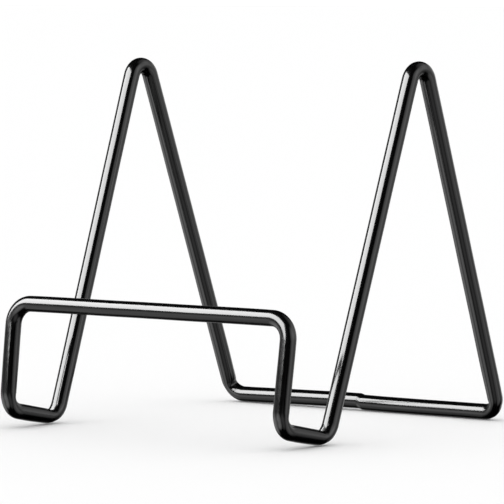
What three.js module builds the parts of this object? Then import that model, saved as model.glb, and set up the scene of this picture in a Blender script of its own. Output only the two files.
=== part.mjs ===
// Photo album stand: one closed loop of round steel rod, bent from two mirrored lengths.
//
// Each length starts at the middle of the rear bar, climbs the rear leg to the apex, comes down the
// upright, runs forwards along the cradle arm, climbs the lip and ends at the middle of the front
// rail. A dressed butt weld closes the loop at each middle. Millimetres, +Z up, -Y is the front,
// +X is the right-hand side as seen from the front.
import * as THREE from 'three';

// Driving dimensions. Lengths and widths run along the centre line of the rod, corner to corner.
const rodDiameter = 6;

const railWidth = 130; // between the two ends of the front rail
const cradleWidth = 128.5; // between the two cradle arms
const apexWidth = 133; // between the two apexes
const rearWidth = 128.5; // between the two ends of the rear bar

const lipHeight = 40; // length of the lip from the cradle arm to the front rail
const lipLean = 8; // degrees that the lip leans back from vertical
const cradleLength = 28.4; // length of the cradle arm from the lip to the upright
const cradleRise = 10.5; // degrees that the cradle arm rises towards the lip
const uprightLength = 152.5; // length of the upright from the cradle arm to the apex
const uprightLean = 20.4; // degrees that the upright leans back from vertical
const rearLegLean = 20.7; // degrees that the rear leg slopes forwards from vertical

// Radius of the rod's centre line in each bend, and the length of each dressed butt weld.
const railBendRadius = 7.8;
const lipBendRadius = 6.8;
const footBendRadius = 6.8;
const apexBendRadius = 5.95;
const rearBendRadius = 6.2;
const weldLength = 2;

// Fineness of the surface.
const rodSides = 24;
const stepsPerBend = 8;

const rodRadius = rodDiameter / 2;
// The flats of the many-sided rod touch the true round of the rod.
const cornerRadius = rodRadius / Math.cos(Math.PI / rodSides);

// A path of straight runs joined by round bends. Its stations are the two ends and an even number
// of steps around every bend, so a straight run is a single step.
class RodPath extends THREE.Curve {
  constructor(corners, bendRadii) {
    super();
    this.stations = [];
    const last = corners.length - 1;
    this.addStation(corners[0], direction(corners[0], corners[1]));
    for (let i = 1; i < last; i++) {
      this.addBend(corners[i - 1], corners[i], corners[i + 1], bendRadii[i - 1]);
    }
    this.addStation(corners[last], direction(corners[last - 1], corners[last]));
  }

  get steps() {
    return this.stations.length - 1;
  }

  addStation(point, tangent) {
    this.stations.push({ point: point.clone(), tangent: tangent.clone() });
  }

  addBend(before, corner, after, radius) {
    const into = direction(before, corner);
    const out = direction(corner, after);
    const turn = into.angleTo(out);
    const axis = new THREE.Vector3().crossVectors(into, out).normalize();
    const inwards = new THREE.Vector3().crossVectors(axis, into);
    const start = corner.clone().addScaledVector(into, -radius * Math.tan(turn / 2));
    const centre = start.clone().addScaledVector(inwards, radius);
    for (let i = 0; i <= stepsPerBend; i++) {
      const angle = (turn * i) / stepsPerBend;
      const spoke = start.clone().sub(centre).applyAxisAngle(axis, angle);
      this.addStation(centre.clone().add(spoke), into.clone().applyAxisAngle(axis, angle));
    }
  }

  station(u) {
    return this.stations[Math.round(u * this.steps)];
  }

  getPoint(u, target = new THREE.Vector3()) {
    return target.copy(this.station(u).point);
  }

  getPointAt(u, target) {
    return this.getPoint(u, target);
  }

  getTangent(u, target = new THREE.Vector3()) {
    return target.copy(this.station(u).tangent);
  }

  getTangentAt(u, target) {
    return this.getTangent(u, target);
  }
}

function direction(from, to) {
  return to.clone().sub(from).normalize();
}

function radians(degrees) {
  return THREE.MathUtils.degToRad(degrees);
}

// The corners of one side as seen from the side: y runs backwards and z upwards, measured from the
// corner between the cradle arm and the upright.
function sideCorners() {
  const foot = { y: 0, z: 0 };
  const lipFoot = {
    y: -cradleLength * Math.cos(radians(cradleRise)),
    z: cradleLength * Math.sin(radians(cradleRise)),
  };
  const lipTop = {
    y: lipFoot.y + lipHeight * Math.sin(radians(lipLean)),
    z: lipFoot.z + lipHeight * Math.cos(radians(lipLean)),
  };
  const apex = {
    y: uprightLength * Math.sin(radians(uprightLean)),
    z: uprightLength * Math.cos(radians(uprightLean)),
  };
  const rear = { z: footBendLift() };
  rear.y = apex.y + (apex.z - rear.z) * Math.tan(radians(rearLegLean));
  return { foot, lipFoot, lipTop, apex, rear };
}

// How far the foot bend's lowest point lies above its corner. The rear bar is level with it, so the
// stand rests on the two foot bends and the rear bar together.
function footBendLift() {
  const armAngle = Math.PI - radians(cradleRise);
  const uprightAngle = Math.PI / 2 - radians(uprightLean);
  const halfOpening = (armAngle - uprightAngle) / 2;
  const middleAngle = (armAngle + uprightAngle) / 2;
  return footBendRadius * (Math.sin(middleAngle) / Math.sin(halfOpening) - 1);
}

// One bent rod. side is 1 for the right-hand rod and -1 for the left-hand one.
function rodGeometry(side) {
  const { foot, lipFoot, lipTop, apex, rear } = sideCorners();
  const at = (x, { y, z }) => new THREE.Vector3(side * x, y, z);
  const corners = [
    at(weldLength / 2, rear),
    at(rearWidth / 2, rear),
    at(apexWidth / 2, apex),
    at(cradleWidth / 2, foot),
    at(cradleWidth / 2, lipFoot),
    at(railWidth / 2, lipTop),
    at(weldLength / 2, lipTop),
  ];
  const bendRadii = [
    rearBendRadius, apexBendRadius, footBendRadius, lipBendRadius, railBendRadius,
  ];
  const path = new RodPath(corners, bendRadii);
  const firstCorner = Math.PI / rodSides;
  const section = new THREE.Shape();
  section.absarc(0, 0, cornerRadius, firstCorner, firstCorner + 2 * Math.PI);
  return new THREE.ExtrudeGeometry(section, {
    curveSegments: rodSides / 2,
    steps: path.steps,
    extrudePath: path,
  });
}

// A butt weld dressed flush with the rod: a short disc whose axis is turned to lie along X.
function weldGeometry() {
  const halfLength = weldLength / 2;
  const profile = [
    new THREE.Vector2(0, -halfLength),
    new THREE.Vector2(cornerRadius, -halfLength),
    new THREE.Vector2(cornerRadius, halfLength),
    new THREE.Vector2(0, halfLength),
  ];
  const disc = new THREE.LatheGeometry(profile, rodSides, Math.PI / rodSides);
  return disc.rotateZ(-Math.PI / 2);
}

function blackCoating() {
  return new THREE.MeshStandardMaterial({ color: 0x0b0b0c, roughness: 0.22, metalness: 0.0 });
}

function part(name, geometry, material) {
  const mesh = new THREE.Mesh(geometry, material);
  mesh.name = name;
  return mesh;
}

function weld(name, { y, z }) {
  const mesh = part(name, weldGeometry(), blackCoating());
  mesh.position.set(0, y, z);
  return mesh;
}

const { lipTop, rear } = sideCorners();
const stand = new THREE.Group();
stand.add(
  part('left_rod', rodGeometry(-1), blackCoating()),
  part('right_rod', rodGeometry(1), blackCoating()),
  weld('rear_bar_weld', rear),
  weld('front_rail_weld', lipTop),
);

// The origin is the middle of the footprint, on the surface that the stand rests on.
const box = new THREE.Box3().setFromObject(stand);
const middle = box.getCenter(new THREE.Vector3());
stand.position.set(-middle.x, -middle.y, -box.min.z);

export default stand;
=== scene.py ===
# %% [markdown]
# # A photo album stand in gloss black rod
# The stand is one closed loop of 6 mm steel rod, bent from two mirrored lengths and butt-welded at
# the middle of the rear bar and the middle of the front rail, then enamelled gloss black. This
# lesson loads the measured CAD rods, sweeps a smooth rod along their centre lines, dresses the
# welds, mixes the enamel, and lights it the way glossy metal is lit in a studio.

# %% Load the measured frame
import math

import bmesh
import bpy
from mathutils import Matrix, Quaternion, Vector


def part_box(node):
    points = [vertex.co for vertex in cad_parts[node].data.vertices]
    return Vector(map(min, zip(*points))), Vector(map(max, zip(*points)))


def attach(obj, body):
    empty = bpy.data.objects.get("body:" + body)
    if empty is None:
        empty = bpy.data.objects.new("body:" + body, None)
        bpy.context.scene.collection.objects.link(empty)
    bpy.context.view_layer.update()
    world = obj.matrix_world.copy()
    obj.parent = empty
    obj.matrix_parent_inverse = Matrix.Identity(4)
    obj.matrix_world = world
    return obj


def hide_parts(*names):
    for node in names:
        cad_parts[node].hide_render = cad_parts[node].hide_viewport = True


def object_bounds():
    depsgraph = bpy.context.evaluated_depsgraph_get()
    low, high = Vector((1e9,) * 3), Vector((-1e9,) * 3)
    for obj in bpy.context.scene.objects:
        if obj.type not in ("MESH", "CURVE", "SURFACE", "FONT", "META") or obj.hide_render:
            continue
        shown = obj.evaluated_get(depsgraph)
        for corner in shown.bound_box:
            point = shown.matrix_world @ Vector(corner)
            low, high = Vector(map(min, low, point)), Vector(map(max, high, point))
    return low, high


MM = 0.001
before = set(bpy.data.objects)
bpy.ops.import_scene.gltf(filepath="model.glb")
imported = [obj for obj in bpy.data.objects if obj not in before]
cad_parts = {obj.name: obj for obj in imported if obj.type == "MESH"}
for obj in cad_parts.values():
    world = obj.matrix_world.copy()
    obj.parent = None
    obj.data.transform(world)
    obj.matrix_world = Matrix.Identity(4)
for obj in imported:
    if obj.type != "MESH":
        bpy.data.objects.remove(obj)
cad_low, cad_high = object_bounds()
print("CAD box in mm:", [round(v / MM, 1) for v in (*cad_low, *cad_high)])

# %% [markdown]
# ## Camera
# A long lens from a good distance keeps the uprights nearly parallel. The camera stands to the
# right of the front, only a few degrees above the table, and is described by the direction it looks
# from, its distance and the point it looks at, which is easier to adjust than raw coordinates.

# %% Camera
CAMERA_AZIMUTH = math.radians(38.293)
CAMERA_ELEVATION = math.radians(3.680)
CAMERA_ROLL = math.radians(-0.157)
CAMERA_DISTANCE = 1.668
CAMERA_LENS = 314.3
SENSOR_WIDTH = 36.0
CAMERA_AIM_OFFSET = Vector((-0.01248, 0.01404, -0.00471))


def direction_from(azimuth, elevation):
    """The unit vector that points from the stand towards something at that bearing.
    Azimuth is counted from the front, -Y, towards the right-hand side, +X."""
    flat = math.cos(elevation)
    return Vector((math.sin(azimuth) * flat, -math.cos(azimuth) * flat, math.sin(elevation)))


def add_camera():
    data = bpy.data.cameras.new("camera")
    data.sensor_width = SENSOR_WIDTH
    data.lens = CAMERA_LENS
    camera = bpy.data.objects.new("camera", data)
    bpy.context.scene.collection.objects.link(camera)
    aim = (cad_low + cad_high) / 2 + CAMERA_AIM_OFFSET
    towards = direction_from(CAMERA_AZIMUTH, CAMERA_ELEVATION)
    turn = towards.to_track_quat("Z", "Y") @ Quaternion((0, 0, 1), CAMERA_ROLL)
    camera.matrix_world = Matrix.LocRotScale(aim + towards * CAMERA_DISTANCE, turn, None)
    bpy.context.scene.camera = camera
    return camera


camera = add_camera()
print("camera at", [round(v, 3) for v in camera.matrix_world.translation])

# %% [markdown]
# ## Centre line of a rod
# The CAD rod is a many-sided tube: rings of points, a few around every bend and none along the
# straight runs. Walking over its edges from the end at the rear weld visits it ring by ring, and
# the middle of each ring is a point on the true centre line. Reading the line from the CAD piece
# means that no bend position is typed in twice.

# %% Read the centre line from the CAD rod
MERGE_DISTANCE = 0.01 * MM


def middle_of(node):
    low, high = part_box(node)
    return (low + high) / 2


def walk_rings(node, start_node):
    """The rings of a CAD rod as lists of points, in order, from the end nearest to start_node."""
    mesh = bmesh.new()
    mesh.from_mesh(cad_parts[node].data)
    bmesh.ops.remove_doubles(mesh, verts=mesh.verts, dist=MERGE_DISTANCE)
    seam = middle_of(start_node)
    first = min(mesh.verts, key=lambda v: (v.co - seam).length)
    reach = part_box(start_node)[1].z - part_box(start_node)[0].z
    ring = {
        v
        for v in mesh.verts
        if abs(v.co.x - first.co.x) < MERGE_DISTANCE and (v.co - seam).length < reach
    }
    rings, seen = [], set()
    while ring:
        rings.append([v.co.copy() for v in ring])
        seen |= ring
        ring = {e.other_vert(v) for v in ring for e in v.link_edges} - seen
    mesh.free()
    return rings


def centre_line(node, start_node):
    """Points and unit directions at the stations of the rod's centre line."""
    rings = walk_rings(node, start_node)
    points = [sum(ring, Vector()) / len(ring) for ring in rings]
    directions = []
    for i, (ring, point) in enumerate(zip(rings, points)):
        ahead = points[min(i + 1, len(points) - 1)] - points[max(i - 1, 0)]
        spoke = ring[0] - point
        other = max(ring, key=lambda p: spoke.cross(p - point).length) - point
        normal = spoke.cross(other).normalized()
        directions.append(normal if normal.dot(ahead) > 0 else -normal)
    return points, directions


for rod in ("left_rod", "right_rod"):
    line_points, line_directions = centre_line(rod, "rear_bar_weld")
    line_length = sum((b - a).length for a, b in zip(line_points, line_points[1:]))
    print(rod, "has", len(line_points), "stations over", round(line_length / MM, 1), "mm")

# %% [markdown]
# ## Smooth stations
# Between two neighbouring stations the rod is either straight or part of a circle. An arc needs
# only its two ends and their directions, so each short arc is cut into finer steps, and each
# straight run into steps of a few millimetres that can carry the tiny waviness of drawn wire.

# %% Subdivide the centre line
STRAIGHT_STEP = 4 * MM
ARC_STEPS = 4
TURN_LIMIT = math.radians(0.2)


def arc_between(start, start_direction, end, end_direction, share):
    """Point and direction part of the way round the circle that joins two stations."""
    turn = start_direction.angle(end_direction)
    axis = start_direction.cross(end_direction).normalized()
    inwards = axis.cross(start_direction)
    radius = (end - start).length / (2 * math.sin(turn / 2))
    spin = Quaternion(axis, turn * share)
    centre = start + inwards * radius
    return centre + spin @ (start - centre), spin @ start_direction


def fine_stations(points, directions):
    """Closely spaced stations: point, direction, the bend's inward side and its curvature."""
    stations = [(points[0], directions[0], Vector(), 0.0)]
    spans = zip(points, directions, points[1:], directions[1:])
    for start, start_direction, end, end_direction in spans:
        turn = start_direction.angle(end_direction)
        if turn < TURN_LIMIT:
            steps = max(1, round((end - start).length / STRAIGHT_STEP))
            for i in range(1, steps + 1):
                stations.append((start.lerp(end, i / steps), start_direction, Vector(), 0.0))
            continue
        axis = start_direction.cross(end_direction).normalized()
        curvature = 2 * math.sin(turn / 2) / (end - start).length
        for i in range(1, ARC_STEPS + 1):
            point, direction = arc_between(
                start, start_direction, end, end_direction, i / ARC_STEPS
            )
            stations.append((point, direction, axis.cross(direction), curvature))
    return stations


print("one rod gets", len(fine_stations(line_points, line_directions)), "fine stations")

# %% [markdown]
# ## Bent rod
# A solid rod bent this tightly doesn't stay perfectly round: the outside of the bend is stretched a
# little flat and the inside is squeezed fuller, and the change fades in over about a diameter on
# each side. The bends near the table were pressed over sharper formers than the others, so their
# inner corners are crisper and the rod is thinner there. The sweep below carries one ring of points
# along the stations, without twist, and reshapes the ring where the rod bends. Each point also
# stores how strongly the metal is bent there and its place on the unbent rod, which the enamel uses
# later. The heat of welding has pulled the middle of the rear bar up by a fraction of a millimetre,
# so the bar rests on its two ends.

# %% Sweep a rod along the stations
ROD_RADIUS = (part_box("rear_bar_weld")[1].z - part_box("rear_bar_weld")[0].z) / 2
RING_POINTS = 48
BEND_FADE = 2 * ROD_RADIUS
# How much a round bend changes the rod's radius outside, inside and at its sides, as shares of it.
OUTSIDE_FLATTENING = 0.035
INSIDE_FULLNESS = 0.015
SIDE_SPREAD = 0.015
# How far the pressed bends go from a round inner corner, 0, towards a sharp one, 1. Only bends
# below this height are pressed. Their outside flattens by a share of what their inside loses, and
# the corner is softened over this many stations on each side.
PRESSED_SHARPNESS = 0.45
PRESSED_BELOW = 25 * MM
OUTSIDE_SHARE = 0.3
PRESS_BLUR = 2
WAVINESS = 0.02 * MM
WAVE_LENGTH = 37 * MM
# How far from the weld the rear bar is pulled up, by how much, and how steeply, for each half.
WELD_PULL = {"left": (58 * MM, 0.65 * MM, 0.6), "right": (16 * MM, 0.15 * MM, 2.0)}


def pressing(stations, travelled):
    """How far the former pushed the inner side towards the rod's middle, at every station."""
    straight = [place for place, station in zip(travelled, stations) if station[3] == 0]
    pushed = []
    for place, (point, _, _, curvature) in zip(travelled, stations):
        if curvature == 0 or point.z > PRESSED_BELOW:
            pushed.append(0.0)
            continue
        turned = min(abs(place - other) for other in straight) * curvature
        inner_radius = 1 / curvature - ROD_RADIUS
        pushed.append(PRESSED_SHARPNESS * inner_radius * (1 / math.cos(turned) - 1))
    softened = []
    for i in range(len(pushed)):
        near = pushed[max(i - PRESS_BLUR, 0):i + PRESS_BLUR + 1]
        softened.append(sum(near) / len(near))
    return softened


def spread_bends(stations):
    """Stations with an inward side, a bend strength that fades out past the bend's ends, the push
    of the former and the distance travelled along the rod."""
    tightest = max(curvature for *_, curvature in stations)
    travelled = [0.0]
    for (a, *_), (b, *_) in zip(stations, stations[1:]):
        travelled.append(travelled[-1] + (b - a).length)
    bent = [i for i, station in enumerate(stations) if station[3] > 0]
    pushed = pressing(stations, travelled)
    result = []
    for i, (point, direction, inwards, curvature) in enumerate(stations):
        nearest = min(bent, key=lambda j: abs(travelled[j] - travelled[i]))
        gap = abs(travelled[nearest] - travelled[i]) / BEND_FADE
        strength = stations[nearest][3] / tightest * max(0.0, 1 - gap) ** 2
        side = stations[nearest][2]
        side = (side - direction * side.dot(direction)).normalized()
        result.append((point, direction, side, strength, pushed[i], travelled[i]))
    return result


def ring_offset(spoke, inwards, strength, pushed):
    """Where one point of the ring lies from the centre line, for a unit spoke."""
    towards_inside = spoke.dot(inwards)
    if towards_inside > 0:
        change = INSIDE_FULLNESS * towards_inside**2
        press = pushed * towards_inside**2
    else:
        change = -OUTSIDE_FLATTENING * towards_inside**2
        press = pushed * OUTSIDE_SHARE * towards_inside**2
    change += SIDE_SPREAD * (1 - towards_inside**2)
    return spoke * (ROD_RADIUS * (1 + strength * change) - press)


def rod_place(angle, travelled):
    """Where a point sits on the unbent rod: two places across the rod, and one along it."""
    return (ROD_RADIUS * math.cos(angle), ROD_RADIUS * math.sin(angle), travelled)


def skin_rings(mesh, rings):
    """Faces between neighbouring rings, and flat caps with a crisp rim, so that the rod's own
    shading runs straight up to the seam."""
    for ring, following in zip(rings, rings[1:]):
        for i in range(RING_POINTS):
            j = (i + 1) % RING_POINTS
            mesh.faces.new((ring[i], ring[j], following[j], following[i]))
    for rim in (list(reversed(rings[0])), rings[-1]):
        cap = mesh.faces.new(rim)
        for edge in cap.edges:
            edge.smooth = False
    bmesh.ops.recalc_face_normals(mesh, faces=mesh.faces)


def sweep_rod(name, stations):
    """A closed mesh of the rod, with its bend strength and unbent place stored on its points."""
    mesh = bmesh.new()
    bend_layer = mesh.verts.layers.float.new("bend")
    place_layer = mesh.verts.layers.float_vector.new("rod_place")
    rings = []
    spoke = stations[0][1].orthogonal().normalized()
    last_direction = stations[0][1]
    for point, direction, inwards, strength, pushed, travelled in stations:
        spoke = last_direction.rotation_difference(direction) @ spoke
        spoke = (spoke - direction * spoke.dot(direction)).normalized()
        last_direction = direction
        wave = math.sin(2 * math.pi * travelled / WAVE_LENGTH) * WAVINESS * (1 - strength)
        ring = []
        for i in range(RING_POINTS):
            angle = 2 * math.pi * i / RING_POINTS
            turned = Quaternion(direction, angle) @ spoke
            offset = ring_offset(turned, inwards, strength, pushed)
            vertex = mesh.verts.new(point + offset + inwards * wave)
            vertex[bend_layer] = strength
            vertex[place_layer] = rod_place(angle, travelled)
            ring.append(vertex)
        rings.append(ring)
    skin_rings(mesh, rings)
    return finish_mesh(name, mesh)


def finish_mesh(name, mesh):
    """Turn a bmesh into a smooth-shaded object that rides on the stand."""
    data = bpy.data.meshes.new(name)
    mesh.to_mesh(data)
    mesh.free()
    piece = bpy.data.objects.new(name, data)
    bpy.context.scene.collection.objects.link(piece)
    for face in data.polygons:
        face.use_smooth = len(face.vertices) == 4
    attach(piece, "root")
    return piece


def pull_at(side, place):
    """How far welding has pulled the rear bar up at a place on it, as a vertical distance."""
    seam = middle_of("rear_bar_weld")
    if abs(place.y - seam.y) > MERGE_DISTANCE:
        return 0.0
    reach, height, power = WELD_PULL[side]
    closeness = max(0.0, 1 - abs(place.x - seam.x) / reach)
    return height * (closeness * closeness * (3 - 2 * closeness)) ** power


def pull_stations(side, stations):
    """The stations with the rear bar lifted slightly towards the weld."""
    return [
        (point + Vector((0, 0, pull_at(side, point))), *rest) for point, *rest in stations
    ]


def make_rod(side):
    points, directions = centre_line(f"{side}_rod", "rear_bar_weld")
    stations = spread_bends(pull_stations(side, fine_stations(points, directions)))
    rod = sweep_rod(f"{side}_bent_rod", stations)
    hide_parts(f"{side}_rod")
    print(rod.name, "has", len(rod.data.polygons), "faces")
    return rod


rods = [make_rod(side) for side in ("left", "right")]

# %% [markdown]
# ## Dressed butt welds
# Where the two rods meet, the fused metal is filed back until it is almost flush and then enamelled
# over. What is left is a low swelling with faint, uneven ripples. It is a ring swept along the
# seam, whose radius rises from the rod's own radius at both ends to a low crown in the middle. The
# swelling keeps to the upper side. On the rear bar the ring also steps down from the left half,
# which welding pulled up further, to the right half.

# %% Weld seams
SEAM_STEPS = 24
SEAM_RIPPLES = 5
RIPPLE_HEIGHT = 0.004 * MM
RIPPLE_TWIST = 1.5
# The file leaves two slow waves round the rod: how many, their share of the crown, their turn.
FILING_WAVES = [(2, 0.35, 0.7), (5, 0.15, 0.0)]
REAR_CROWN = 0.03 * MM
FRONT_CROWN = 0.006 * MM


def seam_radius(along, angle, crown):
    """Radius of the weld at a place from 0 to 1 along the seam and an angle round the rod."""
    envelope = math.sin(math.pi * along) ** 2
    uneven = 1 + sum(
        share * math.sin(waves * angle + turn) for waves, share, turn in FILING_WAVES
    )
    phase = 2 * math.pi * SEAM_RIPPLES * along + RIPPLE_TWIST * math.sin(angle)
    ripple = RIPPLE_HEIGHT * math.sin(phase)
    upper_side = (1 + math.sin(angle)) / 2
    return ROD_RADIUS + envelope * upper_side * (crown * uneven + ripple)


def make_weld(node, crown):
    low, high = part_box(node)
    centre = (low + high) / 2
    left_lift = pull_at("left", Vector((low.x, centre.y, centre.z)))
    right_lift = pull_at("right", Vector((high.x, centre.y, centre.z)))
    mesh = bmesh.new()
    mesh.verts.layers.float.new("bend")
    place_layer = mesh.verts.layers.float_vector.new("rod_place")
    rings = []
    for step in range(SEAM_STEPS + 1):
        along = step / SEAM_STEPS
        x = low.x + (high.x - low.x) * along
        blend = along * along * (3 - 2 * along)
        z = centre.z + left_lift * (1 - blend) + right_lift * blend
        ring = []
        for i in range(RING_POINTS):
            angle = 2 * math.pi * i / RING_POINTS
            radius = seam_radius(along, angle, crown)
            offset = Vector((0, math.cos(angle), math.sin(angle))) * radius
            vertex = mesh.verts.new(Vector((x, centre.y, z)) + offset)
            vertex[place_layer] = rod_place(angle, x)
            ring.append(vertex)
        rings.append(ring)
    skin_rings(mesh, rings)
    weld = finish_mesh(f"{node}_seam", mesh)
    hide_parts(node)
    print(weld.name, "is", round((high.x - low.x) / MM, 2), "mm long")
    return weld


welds = [
    make_weld("rear_bar_weld", REAR_CROWN),
    make_weld("front_rail_weld", FRONT_CROWN),
]

# %% [markdown]
# ## Enamel effects
# Gloss enamel is never a perfect mirror. It dries with a faint orange peel, a soft dimpling a
# millimetre or two across, it follows the lines that drawing left along the rod, and it picks up a
# little dust and handling haze. These effects are node groups, because the rod and the welds use
# them at different strengths.

# %% Small node helpers
def link_nodes(tree, source, target):
    tree.links.new(source, target)


def add_node(tree, kind, **settings):
    node = tree.nodes.new(kind)
    for name, value in settings.items():
        setattr(node, name, value)
    return node


def new_group(name, inputs, outputs):
    """An empty shader group with named value inputs and outputs, and its two end nodes."""
    group = bpy.data.node_groups.new(name, "ShaderNodeTree")
    for label, default in inputs.items():
        socket = group.interface.new_socket(label, in_out="INPUT", socket_type="NodeSocketFloat")
        socket.default_value = default
    for label in outputs:
        group.interface.new_socket(label, in_out="OUTPUT", socket_type="NodeSocketFloat")
    return group, add_node(group, "NodeGroupInput"), add_node(group, "NodeGroupOutput")


def math_node(tree, operation, first, second):
    """A maths node whose two inputs are sockets or plain numbers."""
    node = add_node(tree, "ShaderNodeMath", operation=operation)
    for socket, value in zip(node.inputs, (first, second)):
        if isinstance(value, bpy.types.NodeSocket):
            tree.links.new(value, socket)
        else:
            socket.default_value = value
    return node.outputs[0]


# %% Orange peel group
GRAIN_PER_DIMPLE = 4.0


def orange_peel_group():
    """Height of the dried enamel: soft dimples with a finer grain on top."""
    inputs = {"Dimples per metre": 450.0, "Grain share": 0.2}
    group, inside, outside = new_group("Orange peel", inputs, ["Height"])
    place = add_node(group, "ShaderNodeTexCoord")
    dimples = add_node(group, "ShaderNodeTexNoise")
    dimples.inputs["Detail"].default_value = 1.0
    link_nodes(group, place.outputs["Object"], dimples.inputs["Vector"])
    link_nodes(group, inside.outputs["Dimples per metre"], dimples.inputs["Scale"])
    grain = add_node(group, "ShaderNodeTexNoise")
    grain.inputs["Detail"].default_value = 2.0
    link_nodes(group, place.outputs["Object"], grain.inputs["Vector"])
    dimples_scale = inside.outputs["Dimples per metre"]
    grain_scale = math_node(group, "MULTIPLY", dimples_scale, GRAIN_PER_DIMPLE)
    link_nodes(group, grain_scale, grain.inputs["Scale"])
    fine = math_node(group, "MULTIPLY", grain.outputs["Fac"], inside.outputs["Grain share"])
    height = math_node(group, "ADD", dimples.outputs["Fac"], fine)
    link_nodes(group, height, outside.inputs["Height"])
    return group


orange_peel = orange_peel_group()
print("made node group", orange_peel.name)


# %% Drawn lines group
def drawn_lines_group():
    """Height of the faint lengthwise lines that the drawing die leaves under the enamel."""
    inputs = {"Lines per metre": 1100.0, "Lengthwise share": 0.05}
    group, inside, outside = new_group("Drawn lines", inputs, ["Height"])
    place = add_node(group, "ShaderNodeAttribute", attribute_name="rod_place")
    split = add_node(group, "ShaderNodeSeparateXYZ")
    link_nodes(group, place.outputs["Vector"], split.inputs["Vector"])
    lengthwise = math_node(
        group, "MULTIPLY", split.outputs["Z"], inside.outputs["Lengthwise share"]
    )
    join = add_node(group, "ShaderNodeCombineXYZ")
    link_nodes(group, split.outputs["X"], join.inputs["X"])
    link_nodes(group, split.outputs["Y"], join.inputs["Y"])
    link_nodes(group, lengthwise, join.inputs["Z"])
    lines = add_node(group, "ShaderNodeTexNoise")
    lines.inputs["Detail"].default_value = 2.0
    link_nodes(group, join.outputs["Vector"], lines.inputs["Vector"])
    link_nodes(group, inside.outputs["Lines per metre"], lines.inputs["Scale"])
    link_nodes(group, lines.outputs["Fac"], outside.inputs["Height"])
    return group


drawn_lines = drawn_lines_group()
print("made node group", drawn_lines.name)


# %% Dust and handling group
SPECKS_PER_METRE = 2600.0
# Dust lies where the surface faces up by more than this, and on the highest of the speckle noise.
LEAST_UPWARD = 0.3
SPECK_RANGE = (0.62, 0.78)
HAZE_RANGE = (0.4, 0.75)


def dust_group():
    """Dust lies on what faces up, and handling leaves soft hazy patches anywhere."""
    inputs = {"Dust amount": 0.3, "Haze amount": 0.5, "Patches per metre": 60.0}
    group, inside, outside = new_group("Dust and handling", inputs, ["Dust", "Haze"])
    place = add_node(group, "ShaderNodeTexCoord")
    specks = add_node(group, "ShaderNodeTexNoise")
    specks.inputs["Scale"].default_value = SPECKS_PER_METRE
    specks.inputs["Detail"].default_value = 3.0
    link_nodes(group, place.outputs["Object"], specks.inputs["Vector"])
    geometry = add_node(group, "ShaderNodeNewGeometry")
    facing = add_node(group, "ShaderNodeSeparateXYZ")
    link_nodes(group, geometry.outputs["Normal"], facing.inputs["Vector"])
    upwards = add_node(group, "ShaderNodeMapRange", interpolation_type="SMOOTHSTEP")
    upwards.inputs["From Min"].default_value = LEAST_UPWARD
    link_nodes(group, facing.outputs["Z"], upwards.inputs["Value"])
    grains = add_node(group, "ShaderNodeMapRange", interpolation_type="SMOOTHSTEP")
    grains.inputs["From Min"].default_value = SPECK_RANGE[0]
    grains.inputs["From Max"].default_value = SPECK_RANGE[1]
    link_nodes(group, specks.outputs["Fac"], grains.inputs["Value"])
    settled = math_node(group, "MULTIPLY", upwards.outputs["Result"], grains.outputs["Result"])
    dust = math_node(group, "MULTIPLY", settled, inside.outputs["Dust amount"])
    link_nodes(group, dust, outside.inputs["Dust"])
    patches = add_node(group, "ShaderNodeTexNoise")
    patches.inputs["Detail"].default_value = 4.0
    link_nodes(group, place.outputs["Object"], patches.inputs["Vector"])
    link_nodes(group, inside.outputs["Patches per metre"], patches.inputs["Scale"])
    soft = add_node(group, "ShaderNodeMapRange", interpolation_type="SMOOTHSTEP")
    soft.inputs["From Min"].default_value = HAZE_RANGE[0]
    soft.inputs["From Max"].default_value = HAZE_RANGE[1]
    link_nodes(group, patches.outputs["Fac"], soft.inputs["Value"])
    haze = math_node(group, "MULTIPLY", soft.outputs["Result"], inside.outputs["Haze amount"])
    link_nodes(group, haze, outside.inputs["Haze"])
    return group


dust_and_handling = dust_group()
print("made node group", dust_and_handling.name)

# %% [markdown]
# ## Gloss black enamel
# The enamel is almost pure black with a clear gloss: everything the eye reads on it is reflection.
# Its roughness rises a little in hazy patches and round the bends, where the film was stretched,
# and the orange peel and the drawn lines go through a Bump node. The weld uses the same recipe, a
# touch rougher and without the drawn lines.

# %% Enamel material
ENAMEL_BLACK = (0.0008, 0.0008, 0.0009, 1.0)
DUST_GREY = (0.10, 0.10, 0.10, 1.0)
ENAMEL_IOR = 1.52


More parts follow.
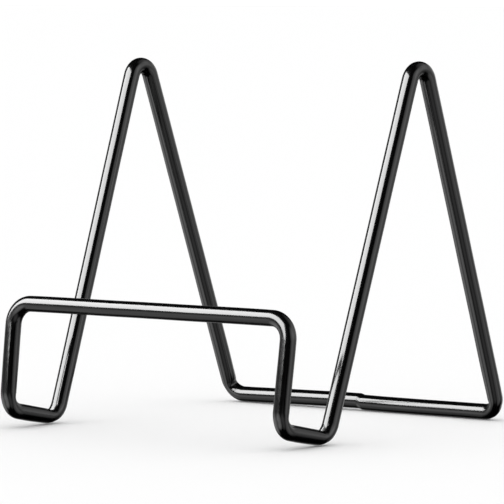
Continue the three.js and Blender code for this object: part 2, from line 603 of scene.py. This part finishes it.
def enamel(name, roughness, bend_roughness, peel_height, line_height, dust, haze):
    material = bpy.data.materials.new(name)
    material.use_nodes = True
    tree = material.node_tree
    shader = tree.nodes["Principled BSDF"]
    shader.inputs["IOR"].default_value = ENAMEL_IOR

    marks = add_node(tree, "ShaderNodeGroup", node_tree=dust_and_handling)
    marks.inputs["Dust amount"].default_value = dust
    marks.inputs["Haze amount"].default_value = haze
    colour = add_node(tree, "ShaderNodeMix", data_type="RGBA")
    colour.inputs["A"].default_value = ENAMEL_BLACK
    colour.inputs["B"].default_value = DUST_GREY
    link_nodes(tree, marks.outputs["Dust"], colour.inputs["Factor"])
    link_nodes(tree, colour.outputs["Result"], shader.inputs["Base Color"])

    bend = add_node(tree, "ShaderNodeAttribute", attribute_name="bend")
    stretched = math_node(tree, "MULTIPLY", bend.outputs["Fac"], bend_roughness)
    marked = math_node(tree, "ADD", marks.outputs["Haze"], marks.outputs["Dust"])
    rougher = math_node(tree, "ADD", stretched, marked)
    total = math_node(tree, "ADD", rougher, roughness)
    link_nodes(tree, total, shader.inputs["Roughness"])

    peel = add_node(tree, "ShaderNodeGroup", node_tree=orange_peel)
    lines = add_node(tree, "ShaderNodeGroup", node_tree=drawn_lines)
    peel_part = math_node(tree, "MULTIPLY", peel.outputs["Height"], peel_height / MM)
    lines_part = math_node(tree, "MULTIPLY", lines.outputs["Height"], line_height / MM)
    bump = add_node(tree, "ShaderNodeBump")
    bump.inputs["Distance"].default_value = MM
    bump.inputs["Strength"].default_value = 1.0
    link_nodes(tree, math_node(tree, "ADD", peel_part, lines_part), bump.inputs["Height"])
    link_nodes(tree, bump.outputs["Normal"], shader.inputs["Normal"])
    return material


rod_enamel = enamel(
    "gloss_black_enamel_on_rod",
    roughness=0.13, bend_roughness=0.03, peel_height=0.010 * MM, line_height=0.008 * MM,
    dust=0.25, haze=0.05,
)
weld_enamel = enamel(
    "gloss_black_enamel_on_weld",
    roughness=0.16, bend_roughness=0.0, peel_height=0.014 * MM, line_height=0.0,
    dust=0.25, haze=0.06,
)
for rod in rods:
    rod.data.materials.append(rod_enamel)
for weld in welds:
    weld.data.materials.append(weld_enamel)
print("enamelled", len(rods), "rods and", len(welds), "welds")

# %% [markdown]
# ## Table
# A wide, pale, matt sheet. It is lit only by the white room, so its brightness is even and the rods
# leave just a soft contact shadow.

# %% Pale table
TABLE_SIZE = 30.0
TABLE_WHITE = (0.86, 0.86, 0.86, 1.0)
TABLE_ROUGHNESS = 0.9


def add_table():
    mesh = bmesh.new()
    bmesh.ops.create_grid(mesh, x_segments=1, y_segments=1, size=TABLE_SIZE / 2)
    data = bpy.data.meshes.new("pale_table")
    mesh.to_mesh(data)
    mesh.free()
    table = bpy.data.objects.new("pale_table", data)
    bpy.context.scene.collection.objects.link(table)
    table.location.z = cad_low.z
    material = bpy.data.materials.new("pale_paper")
    material.use_nodes = True
    shader = material.node_tree.nodes["Principled BSDF"]
    shader.inputs["Base Color"].default_value = TABLE_WHITE
    shader.inputs["Roughness"].default_value = TABLE_ROUGHNESS
    shader.inputs["Specular IOR Level"].default_value = 0.0
    data.materials.append(material)
    table.visible_glossy = False
    return table


table = add_table()
print("table top at", table.location.z)

# %% [markdown]
# ## Studio
# A black glossy rod shows the room rather than itself. One wide softbox at the front left draws the
# bright stripe along every rod. The rest of the room is dark, which gives the rods their black
# core, except for soft round cards of different strengths, which give the greys beside the stripe.
# The softbox and the cards are seen in reflections only, so that the table stays evenly lit by the
# white surroundings.

# %% Softbox
def add_softbox(name, azimuth, elevation, distance, width, height, radiance):
    """A rectangular area light that faces the stand. Its power follows from its radiance."""
    data = bpy.data.lights.new(name, "AREA")
    data.shape = "RECTANGLE"
    data.size = width
    data.size_y = height
    data.energy = radiance * width * height * math.pi
    light = bpy.data.objects.new(name, data)
    bpy.context.scene.collection.objects.link(light)
    towards = direction_from(math.radians(azimuth), math.radians(elevation))
    centre = (cad_low + cad_high) / 2
    turn = towards.to_track_quat("Z", "Y")
    light.matrix_world = Matrix.LocRotScale(centre + towards * distance, turn, None)
    light.visible_diffuse = False
    light.visible_camera = False
    print(name, "gives", round(data.energy), "W")
    return light


softbox = add_softbox(
    "key_softbox",
    azimuth=-30.5, elevation=31.5, distance=0.85, width=1.16, height=0.73, radiance=15.5,
)

# %% Room
CARD_RADIUS = math.radians(32)
WHITE_STRENGTH = 1.16
PURE_WHITE = (1.0, 1.0, 1.0, 1.0)
# Rings of soft cards: for each height in degrees above the table, the strength at each azimuth.
CARD_RINGS = {
    -25: {-135: 0.15, -75: 1.35, -45: 0.25, -15: 2.1, 45: 0.6, 105: 0.95},
    -3: {-152: 0.15, -124: 0.2, -96: 0.3, -40: 0.2, 128: 0.55, 180: 0.75},
    20: {100: 1.4, 130: 0.75, 160: 0.35},
    45: {150: 0.4},
}


def card_light(tree, direction, azimuth, elevation, strength):
    """Light from one round card, brightest in its middle and fading out at its rim."""
    towards = direction_from(math.radians(azimuth), math.radians(elevation))
    closeness = add_node(tree, "ShaderNodeVectorMath", operation="DOT_PRODUCT")
    closeness.inputs[1].default_value = towards
    link_nodes(tree, direction, closeness.inputs[0])
    fade = add_node(tree, "ShaderNodeMapRange", interpolation_type="SMOOTHSTEP")
    fade.inputs["From Min"].default_value = math.cos(CARD_RADIUS)
    fade.inputs["To Max"].default_value = strength
    link_nodes(tree, closeness.outputs["Value"], fade.inputs["Value"])
    return fade.outputs["Result"]


def add_room():
    """White for the camera and for diffuse light, and soft cards for reflections."""
    world = bpy.data.worlds.new("studio_room")
    bpy.context.scene.world = world
    world.use_nodes = True
    tree = world.node_tree
    tree.nodes.clear()
    place = add_node(tree, "ShaderNodeTexCoord")
    total = None
    for elevation, ring in CARD_RINGS.items():
        for azimuth, strength in ring.items():
            card = card_light(tree, place.outputs["Generated"], azimuth, elevation, strength)
            total = card if total is None else math_node(tree, "ADD", total, card)
    reflected = add_node(tree, "ShaderNodeBackground")
    reflected.inputs["Color"].default_value = PURE_WHITE
    link_nodes(tree, total, reflected.inputs["Strength"])
    white = add_node(tree, "ShaderNodeBackground")
    white.inputs["Color"].default_value = PURE_WHITE
    white.inputs["Strength"].default_value = WHITE_STRENGTH
    ray = add_node(tree, "ShaderNodeLightPath")
    choose = add_node(tree, "ShaderNodeMixShader")
    link_nodes(tree, ray.outputs["Is Glossy Ray"], choose.inputs["Fac"])
    link_nodes(tree, white.outputs["Background"], choose.inputs[1])
    link_nodes(tree, reflected.outputs["Background"], choose.inputs[2])
    output = add_node(tree, "ShaderNodeOutputWorld")
    link_nodes(tree, choose.outputs["Shader"], output.inputs["Surface"])
    return world


room = add_room()
bpy.context.scene.view_settings.view_transform = "Standard"
print("room", room.name, "has", sum(len(ring) for ring in CARD_RINGS.values()), "cards")
